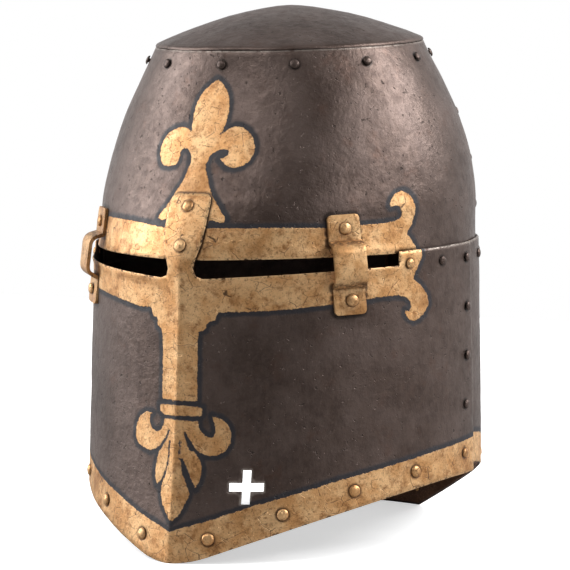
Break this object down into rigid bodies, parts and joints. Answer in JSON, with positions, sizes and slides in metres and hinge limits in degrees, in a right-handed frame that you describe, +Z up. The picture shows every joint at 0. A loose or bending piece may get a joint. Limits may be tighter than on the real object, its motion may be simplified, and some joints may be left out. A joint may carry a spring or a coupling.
{
  "type": "great_helm",
  "caption": "Closed medieval great helm of lapped riveted plates with a keeled face, two sight slits, a cross cut in one cheek, and a hung leather liner with a buckled chin strap",
  "frame": {"origin": "on the floor, under the middle of the helm's box; the keel's lowest point and the flat of the back's lower edge stand on it", "axes": "+Z up through the crown, the keel faces -Y, +X is the wearer's left (the side with the cross)"},
  "size_m": [0.269, 0.283, 0.3509],
  "materials": {
    "blackened_steel": "blackened steel sheet, worn and pitted",
    "gilding": "worn gilding over iron",
    "dark_iron": "dark hammered iron",
    "brass": "dull cast brass",
    "harness_leather": "dark brown vegetable-tanned leather",
    "soft_leather": "soft mid-brown leather",
    "cord": "twisted linen cord"
  },
  "bodies": {
    "helm": {"face_plate": "blackened_steel", "brow_plate": "blackened_steel", "upper_back_plate": "blackened_steel", "lower_back_plate": "blackened_steel", "crown_plate": "blackened_steel", "sight_bridge_left": "gilding", "sight_bridge_right": "gilding", "seam_rivets_front": "blackened_steel", "seam_rivets_back": "blackened_steel", "side_seam_rivets": "blackened_steel", "hem_rivets_front": "gilding", "hem_rivets_back": "gilding", "rim_rivets": "dark_iron", "nasal_rivets": "gilding", "upper_side_rivets": "dark_iron", "bridge_rivets_left": "gilding", "bridge_rivets_right": "gilding", "hem_strip_front": "harness_leather", "hem_strip_back": "harness_leather", "liner_hangers": "harness_leather", "liner_band": "harness_leather", "liner_cap": "soft_leather", "liner_lace": "cord", "liner_rivets": "brass", "chin_strap_left": "harness_leather", "chin_strap_right": "harness_leather", "chin_strap_rivets": "brass", "strap_keeper": "harness_leather", "fold_rivet": "brass"},
    "buckle_frame": {"buckle_frame": "brass"},
    "buckle_tongue": {"buckle_tongue": "brass"}
  },
  "joints": [
    {"name": "buckle_frame_swing", "type": "hinge", "parent": "helm", "child": "buckle_frame", "pos_m": [0.08276, 0.01813, 0.11], "axis": [0, 1, 0], "range_deg": [-60, 50]},
    {"name": "buckle_tongue_swing", "type": "hinge", "parent": "buckle_frame", "child": "buckle_tongue", "pos_m": [0.08276, 0.01813, 0.11], "axis": [0, 1, 0], "range_deg": [-70, 0]}
  ]
}
